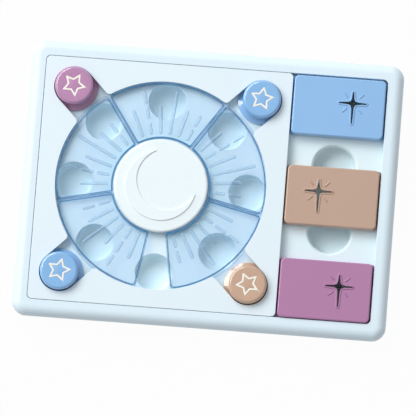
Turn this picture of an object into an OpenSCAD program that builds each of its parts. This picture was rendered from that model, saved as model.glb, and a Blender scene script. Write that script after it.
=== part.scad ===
/* [Tray] */
// Width of the tray, left to right
tray_w = 320; // [300:1:360]
// Depth of the tray, front to back
tray_d = 240; // [232:1:250]
// Height of the tray's deck above the surface it stands on
tray_h = 24; // [22:0.5:32]
// Plan radius of the tray's outer corners
corner_r = 12; // [10:0.5:16]
// Radius that rounds the tray's top outer edge
edge_r = 8; // [4:0.5:9]
// Width of the deck between the pocket and the front, back and right sides
border = 13.5; // [12:0.1:16]
// Width of the deck between the pocket and the left side
border_left = 12.3; // [12:0.1:16]
// Inset of the skirt's lower edge, which leans in under the rim
skirt_lean = 3.4; // [0:0.2:5]
// Wall thickness of the tray moulding
wall = 2.4; // [1.8:0.1:2.8]
// Radius of the pocket's corners
pocket_r = 4; // [2:0.5:6]
// Length of each side of the gussets that carry the feet
gusset_l = 28; // [24:1:34]

/* [Treat wells] */
// Number of wells around the ring
well_count = 8; // [6:1:10]
// Radius of a ring well
well_r = 16; // [12:0.5:17]
// Height of the wells' undersides above the tray's lower edge
well_clear = 0.6; // [0.2:0.1:4]
// Radius that rounds a well's bottom edge
well_fillet = 4; // [2:0.5:6]
// Number of wells under the lids
lid_well_count = 4; // [3:1:4]
// Radius of a lid well
lid_well_r = 18; // [14:0.5:22]
// Distance between the last lid well's lip and the end of the channel
lid_well_end = 1.2; // [0.5:0.05:3]
// Width of the sloping lip around a lid well
lid_well_lip = 1.7; // [1:0.1:2]

/* [Top panel] */
// Extra width of the panel over its depth
panel_extra = 0.2; // [0:0.2:6]
// Thickness of the panel
panel_t = 3; // [2.4:0.1:3.2]
// Radius of the panel's corners
panel_r = 4; // [2:0.5:6]
// Gap between the panel and the pocket's walls
panel_gap = 0.4; // [0.3:0.1:0.6]
// Distance between the round opening and the panel's front and back edges
ring_margin = 15.6; // [12:0.1:20]
// Radius that rounds the tips between the opening and the slots
slot_tip_r = 4; // [2:0.5:6]
// Radius of the panel's screw posts
post_r = 3.4; // [3:0.1:3.7]
// Gap between a screw post and the covers' flanges
post_gap = 5; // [2:0.5:6]
// Angle between a screw post and the nearest of the ring's four sides
post_angle = 25; // [18:1:28]
// Width of the ledge that carries the panel's edge
ledge_w = 3; // [2:0.5:3]

/* [Ray covers] */
// Open angle that the covers share
gap_angle = 18.5; // [18:0.5:30]
// Height of the covers above the deck, below zero where they are sunk
cover_rise = -0.6; // [-1:0.1:3]
// Gap between the covers and the cap or the opening
cover_gap = 0.7; // [0.6:0.1:1.4]
// Wall thickness of a cover
cover_wall = 1.4; // [1.2:0.1:1.8]
// Radius of a cover's outer corners
cover_r = 4; // [2:0.5:5]
// Radius of a cover's inner corners
cover_inner_r = 2.5; // [1.5:0.5:3]
// Thickness of a cover's flange
flange_t = 1.5; // [1.2:0.1:1.6]
// Reach of the flange under the panel
flange_reach = 1.8; // [1.4:0.1:2.4]
// Reach of the flange under the cap
flange_inner_reach = 7; // [5:0.5:9]
// Gap between neighbouring covers
seam = 0.6; // [0.5:0.1:1]
// Number of raised rays on a cover
ray_count = 6; // [4:1:6]
// Angle between neighbouring rays
ray_pitch = 9.88; // [8:0.02:10]
// Turn of the rays from their cover's middle
ray_turn = 0.6; // [-2:0.1:2]
// Width of a ray
ray_w = 2.6; // [1.6:0.1:3]
// Height of a ray above the cover
ray_h = 0.7; // [0.4:0.1:1]
// Number of dashes in the longest broken ray
dash_count = 3; // [2:1:4]
// Gap between two dashes of a broken ray
dash_gap = 3.4; // [2:0.1:6]
// Distance between a cover's inner edge and its rays
ray_start = 3.7; // [2:0.1:5]
// Distance between a cover's outer edge and its longest ray
ray_end = 6.6; // [4:0.1:12]

/* [Centre cap] */
// Radius of the centre cap
cap_r = 40.6; // [38:0.1:43]
// Height of the cap above the deck
cap_rise = 0.4; // [0.2:0.1:5]
// Radius that rounds the cap's top edge
cap_edge_r = 2.2; // [1:0.1:2.6]
// Thickness of the cap's top and skirt
cap_wall = 2; // [1.6:0.1:2.4]
// Radius of the crescent's outer arc
moon_r = 30.5; // [24:0.5:32]
// Radius of the arc that is bitten out of the crescent
moon_bite_r = 26.8; // [22:0.2:28]
// Shift of the bitten arc away from the cap's middle
moon_shift = 8; // [8:0.5:12]
// Height of the crescent above the cap
moon_h = 0.8; // [0.4:0.1:1]
// Radius of the circle through the cap's screws
cap_screw_ring_r = 20; // [14:0.5:24]
// Radius of the cap's screw posts
cap_post_r = 3.6; // [3:0.1:4.4]
// Inset of the ring that seats the cap on its hub
cap_seat_inset = 0.5; // [0.3:0.1:1]

/* [Star sliders] */
// Radius of a slider's knob
knob_r = 16.4; // [15:0.1:17]
// Height of the knob above the deck
knob_rise = 6; // [4:0.5:9]
// Radius that rounds the knob's top edge
knob_edge_r = 2.8; // [1:0.1:3.4]
// Height of the knob's underside above the panel's underside
knob_lift = 1.6; // [0:0.1:2]
// Gap between the knob and the walls of its slot
knob_gap = 0.8; // [0.4:0.1:0.8]
// Overhang of the knob round its stem
knob_overhang = 2.1; // [1.9:0.1:4]
// Reach of the slider's foot under the panel, past its slot
foot_reach = 3.3; // [2:0.1:3.8]
// Thickness of the slider's foot
foot_t = 1.5; // [1.2:0.1:1.6]
// Gap between a slider's foot at rest and the ledge under the panel
foot_gap = 2.2; // [0.5:0.1:3]
// Length of a slider's shoes on the side of the ring
shoe_l = 4; // [1:0.5:8]
// Inset of the shoes from the foot's edge
shoe_inset = 0.3; // [0.1:0.1:0.8]
// Radius of the points of the star on a knob
star_r = 10.2; // [7:0.1:12]
// Length that is cut off each sharp point of the star
star_blunt = 0.8; // [0.2:0.1:1]
// Radius of the notches of the star on a knob
star_notch_r = 5.6; // [3.4:0.1:6]
// Width of the star's line
star_line = 1.55; // [0.8:0.05:1.8]
// Height of the star above the knob
star_h = 0.3; // [0.2:0.1:0.5]
// Depth of the star's seat in the knob
star_seat = 0.5; // [0.3:0.1:0.8]
// Turn of the star on the back left knob
star_angle_back_left = 27; // [0:1:71]
// Turn of the star on the back right knob
star_angle_back_right = 7; // [0:1:71]
// Turn of the star on the front left knob
star_angle_front_left = 12; // [0:1:71]
// Turn of the star on the front right knob
star_angle_front_right = 45; // [0:1:71]

/* [Sliding lids] */
// Length of a lid along the channel
lid_l = 51.2; // [44:0.2:54]
// Height of the lids above the deck
lid_rise = 2; // [1:0.1:4]
// Radius of a lid's corners
lid_r = 4; // [2:0.5:6]
// Wall thickness of a lid
lid_wall = 2; // [1.6:0.1:2.4]
// Width of the lips that guide a lid
lip_w = 2.8; // [2.4:0.1:3.2]
// Gap between a lid and the end of the channel
lid_end_gap = 0.6; // [0.4:0.1:1]
// How far the middle lid stands behind the middle of its travel
middle_lid_shift = 0.8; // [0:0.1:3]
// How far the back lid stands in front of its end of the channel
back_lid_slack = 1; // [0:0.1:3]
// Gap between a lid and each side of the channel
lid_side_gap = 1.4; // [1:0.1:1.8]
// Sideways shift of the star hole from the lid's middle
spark_x = 11.8; // [0:0.2:14]
// Shift of the star hole towards the lid's back edge
spark_y = 4; // [0:0.5:4]
// Reach of the star hole's upper ray
spark_up = 10; // [7:0.5:12]
// Reach of the star hole's side rays
spark_side = 12; // [8:0.5:14]
// Reach of the star hole's lower ray
spark_down = 18; // [12:0.5:19]
// Half width of the star hole at its middle
spark_waist = 1.9; // [1.6:0.1:3]
// Half width of the star hole's rays where they leave its middle
spark_neck = 1.05; // [0.8:0.05:1.5]
// Distance between that place and the star hole's middle
spark_neck_y = 4.2; // [3.5:0.1:5]
// Half width of the star hole's rays at their ends
spark_tip = 0.5; // [0.3:0.05:0.8]
// Width of the raised rim round the star hole
spark_rim_w = 1.3; // [0.8:0.1:1.6]
// Height of the raised rim round the star hole
spark_rim_h = 0.5; // [0.3:0.1:0.8]

/* [Fit and fasteners] */
// Running gap between parts that move past each other
run_gap = 0.35; // [0.3:0.05:0.4]
// Radius of a screw's shank
shank_r = 1.25; // [1:0.05:1.5]
// Gap between a screw's shank and its hole
shank_gap = 0.05; // [0.03:0.01:0.08]
// Radius of a screw's head
head_r = 3; // [2.4:0.1:3.2]
// Height of a screw's head
head_h = 1.8; // [1.4:0.1:2.2]
// Taper of a screw's head
head_taper = 0.6; // [0.3:0.1:1]
// Length, width and depth of the cross recess in a screw's head
recess_l = 3; // [2:0.1:4]
recess_w = 0.8; // [0.5:0.1:1]
recess_d = 0.9; // [0.5:0.1:1.2]
// Length of the screws that hold the panel
panel_screw_l = 7.6; // [6:0.1:8]
// Length of the screws that hold the cap
cap_screw_l = 8.2; // [7:0.1:8.8]
// Radius of a rubber pad
pad_r = 8; // [5:0.5:10]
// Height of a rubber pad below the tray
pad_h = 1.5; // [1:0.1:3]
// Distance between a pad's middle and the tray's sides
pad_inset = 15; // [12:0.5:18]

/* [Hidden] */
$fn = 96;
// Overlap that joins two solids, and overrun of a cutting tool
joint = 0.5;
over = 1;
// Spare depth at the end of a screw's hole
spare = 0.2;
// Extra radius that lets a corner's arc cross its two sides cleanly
slip = 0.01;

// Colours
tray_blue = [0.87, 0.95, 0.98];
panel_blue = [0.90, 0.96, 0.99];
cap_white = [0.94, 0.98, 1.00];
cover_blue = [0.62, 0.82, 0.95, 0.5];
star_blue = [0.53, 0.71, 0.90];
star_tan = [0.70, 0.58, 0.51];
star_purple = [0.68, 0.46, 0.63];
star_white = [0.99, 0.98, 0.95];
rubber_grey = [0.85, 0.87, 0.88];
steel = [0.75, 0.76, 0.78];

// Heights
body_z = pad_h;
deck_z = tray_h;
panel_z = deck_z - panel_t;
floor_z = panel_z - foot_t - flange_t - 3 * run_gap;
slab_z = floor_z - wall;
foot_z = floor_z + run_gap;
foot_top_z = foot_z + foot_t;
flange_z = foot_top_z + run_gap;
flange_top_z = flange_z + flange_t;
cover_z = deck_z + cover_rise;
cap_z = flange_top_z + run_gap;
cap_top_z = deck_z + cap_rise;
knob_z = panel_z + knob_lift;
knob_top_z = deck_z + knob_rise;
lid_z = floor_z + run_gap;
lid_top_z = deck_z + lid_rise;
lip_top_z = panel_z - run_gap;
well_depth = slab_z - body_z - well_clear;

// Pocket, ring and channel in plan
pocket_w = tray_w - border - border_left;
pocket_d = tray_d - 2 * border;
pocket_x = (border_left - border) / 2;
panel_d = pocket_d - 2 * panel_gap;
panel_w = panel_d + panel_extra;
panel_left = pocket_x - pocket_w / 2 + panel_gap;
panel_right = panel_left + panel_w;
ring_x = (panel_left + panel_right) / 2;
channel_left = panel_right;
channel_right = pocket_x + pocket_w / 2;
channel_x = (channel_left + channel_right) / 2;
lid_w = channel_right - channel_left - 2 * lid_side_gap;
undercut_w = lip_w - lid_side_gap + run_gap + joint;
divider_right = channel_left - undercut_w;
divider_left = divider_right - wall;

// Ring
cover_count = 5;
cover_angle = (360 - gap_angle) / cover_count;
opening_r = panel_d / 2 - ring_margin;
well_ring_r = opening_r - well_r;
cover_in_r = cap_r + cover_gap;
cover_out_r = opening_r - cover_gap;
flange_in_r = cap_r - flange_inner_reach;
flange_out_r = opening_r + flange_reach;
hub_r = flange_in_r - run_gap;
hub_shoulder_r = (flange_in_r + cap_r) / 2;
ray_start_r = cover_in_r + ray_start;
ray_l = cover_out_r - ray_end - ray_start_r;
dash_l = (ray_l - (dash_count - 1) * dash_gap) / dash_count;
dash_pitch = dash_l + dash_gap;
slot_half = knob_r + knob_gap;
stem_r = knob_r - knob_overhang;
foot_r = slot_half + foot_reach;
slider_home = pocket_d / 2 - ledge_w - foot_gap - foot_r;
slider_home_r = sqrt(2) * slider_home;
slot_angle_back_right = 45;
slot_angle_front_right = 135;
slot_angle_front_left = 225;
slot_angle_back_left = 315;
slot_angles = [
  slot_angle_back_right, slot_angle_front_right, slot_angle_front_left, slot_angle_back_left
];

// Channel
lid_count = 3;
lid_well_pitch = (pocket_d - 2 * (lid_well_r + lid_well_lip + lid_well_end)) / (lid_well_count - 1);
lid_span = pocket_d - 2 * lid_end_gap;
lid_step = (lid_span - lid_l) / (lid_count - 1);
lid_shifts = [0, middle_lid_shift, -back_lid_slack];

// Places of the panel's posts round the ring's middle
post_place_r = flange_out_r + post_r + post_gap;
post_turns = [for (side = [0 : 90 : 270], s = [-1, 1]) side + s * post_angle];
cap_screw_angles = [0, 120, 240];

// Rectangle with round corners
module rounded_rect(w, d, r) {
  square([w - 2 * r, d], center = true);
  square([w, d - 2 * r], center = true);
  for (x = [-1, 1], y = [-1, 1]) {
    translate([x * (w / 2 - r), y * (d / 2 - r)]) circle(r);
  }
}

// Outline of the pocket, grown or shrunk all round
module pocket_outline(grow) {
  translate([pocket_x, 0]) {
    rounded_rect(pocket_w + 2 * grow, pocket_d + 2 * grow, pocket_r + max(grow, 0));
  }
}

// Section of the tray's outer wall and deck: u runs outwards from the corner's centre
module shell_half_section(reach, top, r) {
  polygon([
    [0, body_z],
    [reach - skirt_lean, body_z],
    [reach, deck_z - edge_r],
    [reach, top - r],
    [0, top - r]
  ]);
  translate([0, top - r]) square([reach - r, r]);
  translate([reach - r, top - r]) circle(r);
}

module shell_section() {
  difference() {
    intersection() {
      shell_half_section(corner_r, deck_z, edge_r);
      translate([0, body_z]) square([corner_r, deck_z]);
    }
    translate([-over, -over]) {
      intersection() {
        shell_half_section(corner_r - wall + over, deck_z - wall + over, edge_r - wall);
        square([corner_r + over, deck_z + over]);
      }
    }
  }
}

// The section swept round the tray: four straight runs and four turned corners
module outer_shell() {
  run_w = tray_w - 2 * corner_r;
  run_d = tray_d - 2 * corner_r;
  for (side = [0, 1]) {
    rotate([0, 0, 180 * side]) {
      translate([run_w / 2, 0, 0]) rotate([90, 0, 0]) {
        linear_extrude(run_d, center = true) shell_section();
      }
      translate([0, run_d / 2, 0]) rotate([90, 0, 90]) {
        linear_extrude(run_w, center = true) shell_section();
      }
      for (turn = [0, 1]) {
        mirror([turn, 0, 0]) translate([run_w / 2, run_d / 2, 0]) {
          rotate_extrude(angle = 90) shell_section();
        }
      }
    }
  }
}

// Deck between the swept edge and the pocket
module deck_plate() {
  translate([0, 0, deck_z - wall]) linear_extrude(wall) {
    difference() {
      square([tray_w - 2 * corner_r, tray_d - 2 * corner_r], center = true);
      translate([pocket_x, 0]) {
        square([pocket_w - 2 * pocket_r, pocket_d - 2 * pocket_r], center = true);
      }
    }
  }
}

// Wall round the pocket, with a ledge for the panel and a rail for the lids' lips
module pocket_wall() {
  ledge_right = divider_left;
  difference() {
    translate([0, 0, slab_z]) linear_extrude(deck_z - slab_z) {
      difference() {
        pocket_outline(wall);
        pocket_outline(0);
      }
    }
    rail_cut();
  }
  translate([0, 0, slab_z]) linear_extrude(panel_z - slab_z) {
    intersection() {
      difference() {
        pocket_outline(wall / 2);
        pocket_outline(-ledge_w);
      }
      translate([-tray_w / 2, -tray_d / 2]) square([tray_w / 2 + ledge_right, tray_d]);
    }
  }
  difference() {
    rail_block();
    rail_cut();
  }
}

// Thicker wall behind the rail slot
module rail_block() {
  translate([channel_right + wall / 2, -pocket_d / 2, slab_z]) {
    cube([undercut_w + wall / 2, pocket_d, deck_z - slab_z - wall / 2]);
  }
}

module rail_cut() {
  translate([channel_right - pocket_r, -pocket_d / 2, floor_z]) {
    cube([undercut_w + pocket_r, pocket_d, panel_z - floor_z]);
  }
}

// Flat corners inside the skirt that carry the rubber pads
module gussets() {
  inset = skirt_lean + wall / 2;
  intersection() {
    translate([0, 0, body_z]) linear_extrude(wall) {
      rounded_rect(tray_w - 2 * inset, tray_d - 2 * inset, corner_r - inset);
    }
    for (x = [-1, 1], y = [-1, 1]) {
      translate([x * (tray_w - gusset_l) / 2, y * (tray_d - gusset_l) / 2, body_z + wall / 2]) {
        cube([gusset_l, gusset_l, 2 * wall], center = true);
      }
    }
  }
}

module tray_rim() {
  color(tray_blue) {
    difference() {
      union() {
        outer_shell();
        deck_plate();
      }
      translate([0, 0, deck_z - wall - over]) linear_extrude(wall + 2 * over) {
        pocket_outline(0);
      }
    }
    pocket_wall();
    gussets();
  }
}

// Round form of a cup with a rounded bottom edge
module cup_form(r, depth, fillet) {
  rotate_extrude() {
    square([r - fillet, depth]);
    translate([0, fillet]) square([r, depth - fillet]);
    intersection() {
      translate([r - fillet, fillet]) circle(fillet);
      square([r, depth]);
    }
  }
}

// Cup that hangs under the floor's slab
module cup(r) {
  depth = well_depth - wall;
  translate([0, 0, slab_z - depth]) difference() {
    translate([0, 0, -wall]) cup_form(r + wall, depth + wall, well_fillet + wall / 2);
    cup_form(r, depth + over, well_fillet);
  }
}

// Hole in the slab over a cup
module cup_mouth(r) {
  translate([0, 0, slab_z - over]) cylinder(r = r, h = wall + 2 * over);
}

module at_ring_wells() {
  for (k = [0 : well_count - 1]) {
    rotate([0, 0, -k * 360 / well_count]) translate([0, well_ring_r, 0]) children();
  }
}

module at_posts() {
  for (a = post_turns) rotate([0, 0, a]) translate([post_place_r, 0, 0]) children();
}

module at_cap_screws() {
  for (a = cap_screw_angles) {
    rotate([0, 0, -a]) translate([0, cap_screw_ring_r, 0]) children();
  }
}

// Low arcs that carry the covers' flanges between the slots
module flange_rests() {
  translate([0, 0, floor_z - joint]) {
    linear_extrude(flange_z - run_gap - floor_z + joint) {
      difference() {
        circle(flange_out_r);
        circle(opening_r + run_gap);
        for (a = slot_angles) {
          rotate(-a) translate([-foot_r - over, 0]) square([2 * (foot_r + over), 2 * opening_r]);
        }
      }
    }
  }
}

// Raised hub that the covers turn round, hollow from below
module hub() {
  hub_top = cap_z - run_gap;
  difference() {
    union() {
      translate([0, 0, slab_z]) cylinder(r = hub_r, h = hub_top - slab_z);
      translate([0, 0, slab_z]) cylinder(r = hub_shoulder_r, h = flange_z - run_gap - slab_z);
    }
    translate([0, 0, slab_z - over]) {
      cylinder(r = hub_r - wall, h = hub_top - wall - slab_z + over);
    }
  }
}

module hub_posts() {
  at_cap_screws() translate([0, 0, slab_z]) cylinder(r = cap_post_r, h = cap_z - run_gap - slab_z);
}

module screw_hole(length) {
  cylinder(r = shank_r + shank_gap, h = length);
}

module ring_floor() {
  floor_left = pocket_x - pocket_w / 2 + ledge_w;
  color(tray_blue) translate([ring_x, 0, 0]) difference() {
    union() {
      translate([-ring_x, 0, slab_z]) linear_extrude(wall) {
        difference() {
          intersection() {
            pocket_outline(-ledge_w);
            translate([floor_left, -pocket_d / 2]) square([divider_left - floor_left, pocket_d]);
          }
          translate([ring_x, 0]) circle(hub_r - wall);
        }
      }
      flange_rests();
      hub();
      hub_posts();
    }
    at_ring_wells() cup_mouth(well_r);
    at_posts() translate([0, 0, slab_z - over]) screw_hole(wall + 2 * over);
    at_cap_screws() translate([0, 0, slab_z - over]) screw_hole(cap_z - slab_z + 2 * over);
  }
}

module ring_wells() {
  color(tray_blue) translate([ring_x, 0, 0]) at_ring_wells() cup(well_r);
}

// Places of the lid wells along the channel
module at_lid_wells() {
  for (k = [0 : lid_well_count - 1]) {
    translate([channel_x, (k - (lid_well_count - 1) / 2) * lid_well_pitch, 0]) children();
  }
}

module lid_well_mouth() {
  cup_mouth(lid_well_r);
  translate([0, 0, floor_z - lid_well_lip]) {
    cylinder(r1 = lid_well_r, r2 = lid_well_r + lid_well_lip + joint, h = lid_well_lip + joint);
  }
}

module channel_floor() {
  color(tray_blue) difference() {
    union() {
      translate([divider_left, -pocket_d / 2, slab_z]) {
        cube([channel_right - divider_left, pocket_d, wall]);
      }
      translate([divider_left, -pocket_d / 2 + ledge_w, slab_z]) {
        cube([wall, pocket_d - 2 * ledge_w, panel_z - slab_z]);
      }
    }
    at_lid_wells() lid_well_mouth();
    for (y = [-1, 1]) {
      translate([channel_right, y * pocket_d / 2, slab_z - over]) corner_cut(pocket_r, 2 * wall);
    }
  }
}

module lid_wells() {
  color(tray_blue) at_lid_wells() cup(lid_well_r);
}

// Removes what lies outside a round corner of the pocket
module corner_cut(r, h) {
  difference() {
    cube([2 * r, 2 * r, 2 * h], center = true);
    for (y = [-1, 1]) translate([-r, y * r, -2 * h]) cylinder(r = r, h = 4 * h);
  }
}

// Rounds the tip between the opening and a slot: the slot runs along +Y from the ring's middle
module slot_tip() {
  side = slot_half + slot_tip_r;
  along = sqrt(pow(opening_r + slot_tip_r, 2) - side * side);
  share = opening_r / (opening_r + slot_tip_r);
  difference() {
    polygon([
      [side, along],
      [slot_half, along],
      [slot_half - over, along * share - over],
      [side * share, along * share]
    ]);
    translate([side, along]) circle(slot_tip_r + slip);
  }
}

module slot_outline() {
  translate([0, slider_home_r]) circle(slot_half);
  translate([-slot_half, 0]) square([2 * slot_half, slider_home_r]);
  for (s = [0, 1]) mirror([s, 0]) slot_tip();
}

module top_panel() {
  color(panel_blue) translate([ring_x, 0, 0]) difference() {
    union() {
      translate([0, 0, panel_z]) linear_extrude(panel_t) {
        difference() {
          rounded_rect(panel_w, panel_d, panel_r);
          circle(opening_r);
          for (a = slot_angles) rotate(-a) slot_outline();
        }
      }
      at_posts() translate([0, 0, floor_z]) cylinder(r = post_r, h = panel_z - floor_z + joint);
    }
    at_posts() translate([0, 0, floor_z - over]) {
      screw_hole(panel_screw_l - wall + over + spare);
    }
  }
}

// Screw driven upwards, with a cross recess in its head
module screw(length) {
  cylinder(r = shank_r, h = length);
  difference() {
    translate([0, 0, -head_h]) cylinder(r1 = head_r - head_taper, r2 = head_r, h = head_h);
    for (turn = [0, 90]) {
      translate([0, 0, -head_h]) rotate([0, 0, turn]) {
        cube([recess_l, recess_w, 2 * recess_d], center = true);
      }
    }
  }
}

module panel_screws() {
  color(steel) translate([ring_x, 0, slab_z]) at_posts() screw(panel_screw_l);
}

module cap_screws() {
  color(steel) translate([ring_x, 0, slab_z]) at_cap_screws() screw(cap_screw_l);
}

// Centre cap: rounded disc with a skirt, a seat ring and three screw posts
module moon_cap() {
  color(cap_white) translate([ring_x, 0, 0]) difference() {
    union() {
      difference() {
        union() {
          translate([0, 0, cap_z]) cap_blank(cap_r, cap_top_z - cap_z, cap_edge_r);
          translate([0, 0, cap_top_z - joint]) linear_extrude(moon_h + joint) crescent();
        }
        translate([0, 0, cap_z - over]) {
          cylinder(r = cap_r - cap_wall, h = cap_top_z - cap_z - cap_wall + over);
        }
      }
      translate([0, 0, cap_z - run_gap]) difference() {
        cylinder(r = hub_r - cap_seat_inset, h = cap_top_z - cap_z + run_gap - joint);
        translate([0, 0, -over]) cylinder(r = hub_r - cap_seat_inset - cap_wall, h = cap_top_z);
      }
      at_cap_screws() translate([0, 0, cap_z - run_gap]) {
        cylinder(r = cap_post_r, h = cap_top_z - cap_z + run_gap - joint);
      }
    }
    at_cap_screws() translate([0, 0, cap_z - run_gap - over]) {
      screw_hole(slab_z + cap_screw_l - cap_z + run_gap + over + spare);
    }
  }
}

module cap_blank(r, h, edge) {
  rotate_extrude() {
    square([r, h - edge]);
    square([r - edge, h]);
    intersection() {
      translate([r - edge, h - edge]) circle(edge);
      square([r, h]);
    }
  }
}

module crescent() {
  difference() {
    circle(moon_r);
    rotate(-45) translate([0, moon_shift]) circle(moon_bite_r);
  }
}

// Outline of one cover, symmetrical about +Y, with its corners rounded
function side_point(half, u, v) = [u * sin(half) - v * cos(half), u * cos(half) + v * sin(half)];

module wedge(half, inset, reach) {
  tip = inset / sin(half);
  polygon([
    [0, tip],
    [reach * sin(half), tip + reach * cos(half)],
    [reach * sin(half), tip + reach],
    [-reach * sin(half), tip + reach],
    [-reach * sin(half), tip + reach * cos(half)]
  ]);
}

module outer_trim(half, inset, r_out, r) {
  v = inset + r;
  u = sqrt(pow(r_out - r, 2) - v * v);
  centre = side_point(half, u, v);
  difference() {
    polygon([
      centre,
      side_point(half, u, inset),
      side_point(half, r_out + over, inset - over),
      centre * r_out / (r_out - r)
    ]);
    translate(centre) circle(r + slip);
  }
}

module inner_trim(half, inset, r_in, r) {
  v = inset + r;
  u = sqrt(pow(r_in + r, 2) - v * v);
  centre = side_point(half, u, v);
  difference() {
    polygon([
      centre,
      side_point(half, u, inset),
      side_point(half, r_in - over, inset - over),
      centre * r_in / (r_in + r)
    ]);
    translate(centre) circle(r + slip);
  }
}

module cover_outline(r_in, r_out, inset, round_out, round_in) {
  half = cover_angle / 2;
  difference() {
    intersection() {
      difference() {
        circle(r_out);
        circle(r_in);
      }
      wedge(half, inset, 2 * r_out);
    }
    for (s = [0, 1]) {
      mirror([s, 0]) outer_trim(half, inset, r_out, round_out);
      mirror([s, 0]) inner_trim(half, inset, r_in, round_in);
    }
  }
}

// One ray from dash number first to dash number last
module ray_bar(first, last) {
  start = ray_start_r + first * dash_pitch;
  end = ray_start_r + last * dash_pitch + dash_l;
  translate([-ray_w / 2, start + ray_w / 2]) square([ray_w, end - start - ray_w]);
  translate([0, start + ray_w / 2]) circle(ray_w / 2);
  translate([0, end - ray_w / 2]) circle(ray_w / 2);
}

// Rays of one cover: plain short ones, one long one and two that are broken into dashes
module rays() {
  long_ray = floor(ray_count / 2);
  for (k = [0 : ray_count - 1]) {
    rotate(-(k - (ray_count - 1) / 2) * ray_pitch - ray_turn) {
      if (k == 1) for (d = [0 : dash_count - 1]) ray_bar(d, d);
      else if (k == ray_count - 1) for (d = [0 : dash_count - 2]) ray_bar(d, d);
      else if (k == long_ray) ray_bar(0, dash_count - 1);
      else ray_bar(0, dash_count - 2);
    }
  }
}

// Cover number k, counted clockwise from the back: a box that is open below, on a flange
module ray_cover(k) {
  half_seam = seam / 2;
  color(cover_blue) translate([ring_x, 0, 0]) rotate([0, 0, -k * cover_angle]) {
    difference() {
      union() {
        translate([0, 0, flange_z]) linear_extrude(flange_t) {
          cover_outline(flange_in_r, flange_out_r, half_seam, cover_r, cover_inner_r);
        }
        translate([0, 0, flange_z]) linear_extrude(cover_z - flange_z) {
          cover_outline(cover_in_r, cover_out_r, half_seam, cover_r, cover_inner_r);
        }
      }
      translate([0, 0, flange_z - over]) linear_extrude(cover_z - flange_z - cover_wall + over) {
        cover_outline(
          cover_in_r + cover_wall, cover_out_r - cover_wall, half_seam + cover_wall,
          cover_r - cover_wall / 2, cover_inner_r - cover_wall / 2
        );
      }
    }
    translate([0, 0, cover_z - joint]) linear_extrude(ray_h + joint) rays();
  }
}

module ray_cover_middle() {
  ray_cover(0);
}

module ray_cover_right() {
  ray_cover(1);
}

module ray_cover_right_end() {
  ray_cover(2);
}

module ray_cover_left() {
  ray_cover(-1);
}

module ray_cover_left_end() {
  ray_cover(-2);
}

module at_slider(a) {
  translate([ring_x, 0, 0]) rotate([0, 0, -a]) translate([0, slider_home_r, 0]) {
    rotate([0, 0, a]) children();
  }
}

// Slider: knob on a stem, a thin round foot and two shoes that run under the panel
module star_slider(a, turn) {
  difference() {
    union() {
      translate([0, 0, knob_z]) cap_blank(knob_r, knob_top_z - knob_z, knob_edge_r);
      translate([0, 0, foot_z]) cylinder(r = stem_r, h = knob_z - foot_z + joint);
      translate([0, 0, foot_z]) cylinder(r = foot_r, h = foot_t);
      rotate([0, 0, -a]) translate([0, 0, foot_z]) linear_extrude(panel_z - run_gap - foot_z) {
        difference() {
          circle(foot_r - shoe_inset);
          translate([-foot_r - over, -foot_r - over]) {
            square([2 * (foot_r + over), foot_r + over - shoe_l]);
          }
          translate([-slot_half - run_gap, -foot_r]) {
            square([2 * (slot_half + run_gap), 2 * foot_r]);
          }
        }
      }
    }
    translate([0, 0, knob_top_z - star_seat]) {
      linear_extrude(star_seat + over) rotate(-turn) star_outline();
    }
  }
}

module star_inlay(turn) {
  translate([0, 0, knob_top_z - star_seat]) {
    linear_extrude(star_seat + star_h) rotate(-turn) star_outline();
  }
}

// Five-pointed star drawn as a line of even width
function star_points(tip, notch) = [
  for (k = [0 : 9]) (k % 2 == 0 ? tip : notch) * [sin(36 * k), cos(36 * k)]
];

module star_outline() {
  sharp_r = star_r + star_blunt;
  edge = [star_notch_r * sin(36), star_notch_r * cos(36) - sharp_r];
  edge_distance = sharp_r * edge.x / norm(edge);
  inner = 1 - star_line / edge_distance;
  difference() {
    intersection() {
      polygon(star_points(sharp_r, star_notch_r));
      circle(star_r);
    }
    polygon(star_points(sharp_r * inner, star_notch_r * inner));
  }
}

module star_slider_back_left() {
  color(star_purple) at_slider(slot_angle_back_left) {
    star_slider(slot_angle_back_left, star_angle_back_left);
  }
}

module star_slider_back_right() {
  color(star_blue) at_slider(slot_angle_back_right) {
    star_slider(slot_angle_back_right, star_angle_back_right);
  }
}

module star_slider_front_left() {
  color(star_blue) at_slider(slot_angle_front_left) {
    star_slider(slot_angle_front_left, star_angle_front_left);
  }
}

module star_slider_front_right() {
  color(star_tan) at_slider(slot_angle_front_right) {
    star_slider(slot_angle_front_right, star_angle_front_right);
  }
}

module star_inlay_back_left() {
  color(star_white) at_slider(slot_angle_back_left) star_inlay(star_angle_back_left);
}

module star_inlay_back_right() {
  color(star_white) at_slider(slot_angle_back_right) star_inlay(star_angle_back_right);
}

module star_inlay_front_left() {
  color(star_white) at_slider(slot_angle_front_left) star_inlay(star_angle_front_left);
}

module star_inlay_front_right() {
  color(star_white) at_slider(slot_angle_front_right) star_inlay(star_angle_front_right);
}

// Half of the outline between two rays of a lid's star hole, then one ray with its round end
function spark_ray(reach, grow) = concat(
  [(spark_waist + 0.8 * grow) * [1, 1], [spark_neck + grow, spark_neck_y + grow / 4]],
  [for (a = [0 : 30 : 180]) [0, reach - spark_tip] + (spark_tip + grow) * [cos(a), sin(a)]],
  [[-spark_neck - grow, spark_neck_y + grow / 4]]
);

function turned(points, a) = [for (p = points) [p.x * cos(a) - p.y * sin(a), p.x * sin(a) + p.y * cos(a)]];

// Four-rayed star hole of a lid, grown all round
module spark(grow) {
  reaches = [spark_up, spark_side, spark_down, spark_side];
  polygon([for (k = [0 : 3]) each turned(spark_ray(reaches[k], grow), 90 * k)]);
}

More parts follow.
